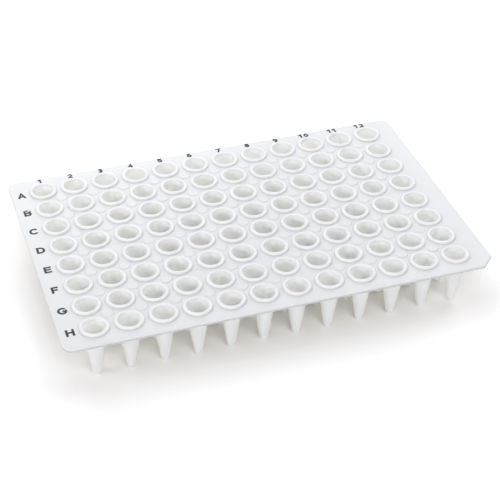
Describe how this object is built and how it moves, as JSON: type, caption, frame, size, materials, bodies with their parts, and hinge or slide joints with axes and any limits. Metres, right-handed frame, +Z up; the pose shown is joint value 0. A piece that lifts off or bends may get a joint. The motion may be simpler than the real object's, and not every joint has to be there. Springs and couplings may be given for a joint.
{
  "type": "well plate",
  "caption": "Low-profile well plate without a skirt: a thin flat deck with a grid of tapered tubes, raised collars, a printed row and column index and one cut corner.",
  "frame": {"origin": "middle of the grid of tubes, on the plane through the tube tips", "axes": "+X along a row from column 1 to column 12, +Y towards row A, +Z up out of the tube mouths"},
  "size_m": [0.1174, 0.0768, 0.0157],
  "materials": {
    "white_polypropylene": "satin moulded, slightly translucent",
    "black_ink": "matt printed ink"
  },
  "bodies": {
    "root": {"well_plate": "white_polypropylene"}
  },
  "joints": []
}
